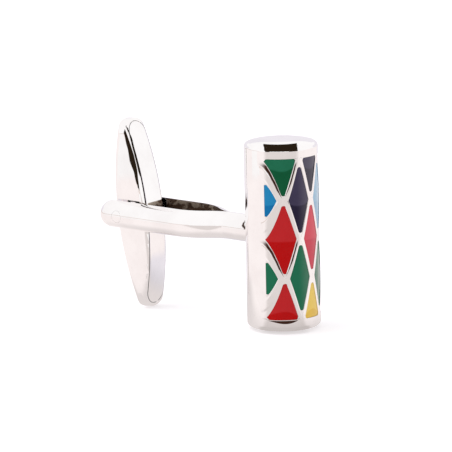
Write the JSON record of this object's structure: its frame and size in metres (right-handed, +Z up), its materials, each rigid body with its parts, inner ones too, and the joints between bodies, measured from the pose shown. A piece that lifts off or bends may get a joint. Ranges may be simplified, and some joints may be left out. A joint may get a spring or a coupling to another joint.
{
  "type": "cufflink",
  "caption": "Barrel-shaped cufflink with a harlequin enamel head, a split post and a swivelling toggle that turns in line with the post to pass a cuff's buttonholes.",
  "frame": {"origin": "centre of the head's flat lower end, which stands on the ground", "axes": "+Z up along the head, -X along the post from the head to the toggle, Y along the pivot pin"},
  "size_m": [0.0254, 0.0072, 0.0193],
  "materials": {
    "plated_head": "polished plating",
    "plated_post": "polished plating",
    "plated_toggle": "polished plating",
    "plated_cover": "polished plating",
    "pin_steel": "polished steel",
    "spring_steel": "hard rolled strip",
    "enamel_green": "glossy enamel fill",
    "enamel_red": "glossy enamel fill",
    "enamel_blue": "glossy enamel fill",
    "enamel_navy": "glossy enamel fill",
    "enamel_sky": "glossy enamel fill",
    "enamel_yellow": "glossy enamel fill"
  },
  "bodies": {
    "head": {"barrel": "plated_head", "enamel_c1_upper": "enamel_blue", "enamel_c1_lower": "enamel_green", "enamel_c2_top": "enamel_green", "enamel_c2_middle": "enamel_red", "enamel_c2_bottom": "enamel_red", "enamel_c3_upper": "enamel_navy", "enamel_c3_lower": "enamel_green", "enamel_c4_top": "enamel_navy", "enamel_c4_middle": "enamel_red", "enamel_c4_bottom": "enamel_yellow", "enamel_c5_upper": "enamel_sky", "enamel_c5_lower": "enamel_green", "enamel_c6_top": "enamel_red", "enamel_c6_middle": "enamel_yellow", "enamel_c6_bottom": "enamel_navy", "enamel_c7_upper": "enamel_green", "enamel_c7_lower": "enamel_blue", "split_post": "plated_post", "pivot_pin": "pin_steel"},
    "toggle": {"toggle_shell": "plated_toggle", "toggle_cover": "plated_cover", "detent_spring": "spring_steel"}
  },
  "joints": [
    {"name": "toggle_swivel", "type": "hinge", "parent": "head", "child": "toggle", "pos_m": [-0.0189, 0, 0.00961], "axis": [0, 1, 0], "continuous": true}
  ]
}
